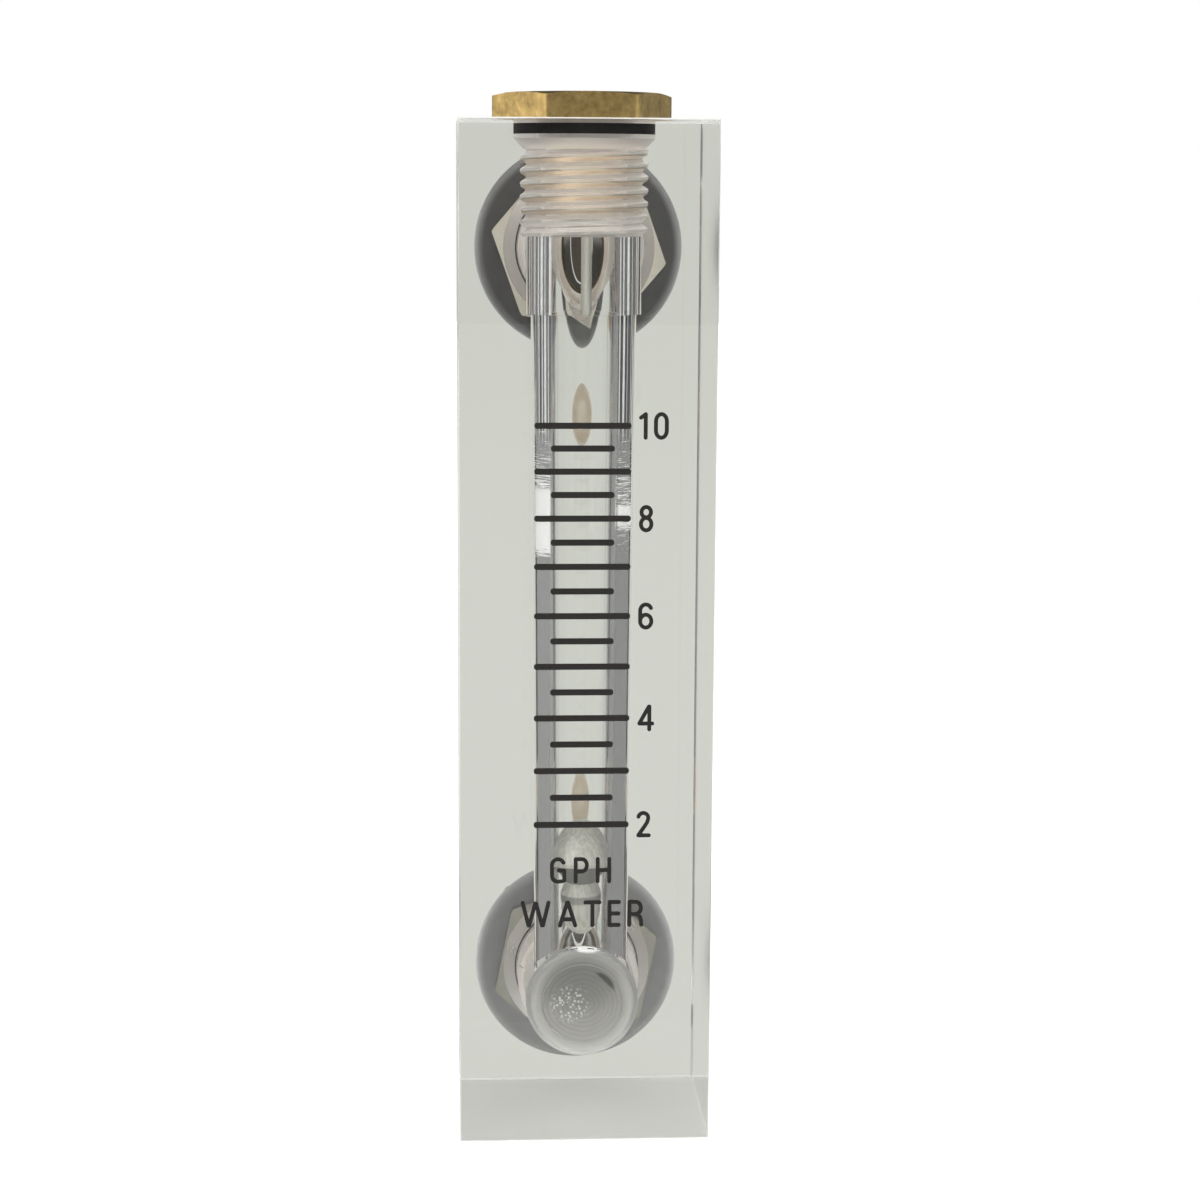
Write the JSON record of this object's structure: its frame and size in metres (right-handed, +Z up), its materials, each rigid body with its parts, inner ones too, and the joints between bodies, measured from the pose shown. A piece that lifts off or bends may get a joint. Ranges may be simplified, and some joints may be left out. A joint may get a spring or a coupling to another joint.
{
  "type": "rotameter",
  "caption": "Clear block variable-area flow meter with a guided steel float in a tapered bore, brass top plug, printed scale and threaded ports at the back.",
  "frame": {"origin": "centre of the block's bottom face", "axes": "+Z up along the flow bore, +Y to the back, out of both ports; the scale faces -Y"},
  "size_m": [0.0252, 0.0443, 0.1043],
  "materials": {
    "clear_acrylic": "polished clear cast acrylic",
    "brass": "turned brass, slightly dull",
    "steel": "turned stainless steel",
    "black_rubber": "black seal rubber",
    "black_washer": "matt black",
    "ink": "black-brown printing ink"
  },
  "bodies": {
    "meter": {"acrylic_block": "clear_acrylic", "top_plug": "brass", "plug_o_ring": "black_rubber", "float_stop_rod": "steel", "float_seat": "clear_acrylic", "inlet_fitting": "brass", "outlet_fitting": "brass", "inlet_o_ring": "black_rubber", "outlet_o_ring": "black_rubber", "inlet_washer": "black_washer", "outlet_washer": "black_washer", "inlet_nut": "brass", "outlet_nut": "brass", "lower_insert": "brass", "upper_insert": "brass", "graduation_marks": "ink"},
    "float": {"float": "steel"}
  },
  "joints": [
    {"name": "float_rise", "type": "slide", "parent": "meter", "child": "float", "axis": [0, 0, 1], "range_m": [0, 0.0519]}
  ]
}
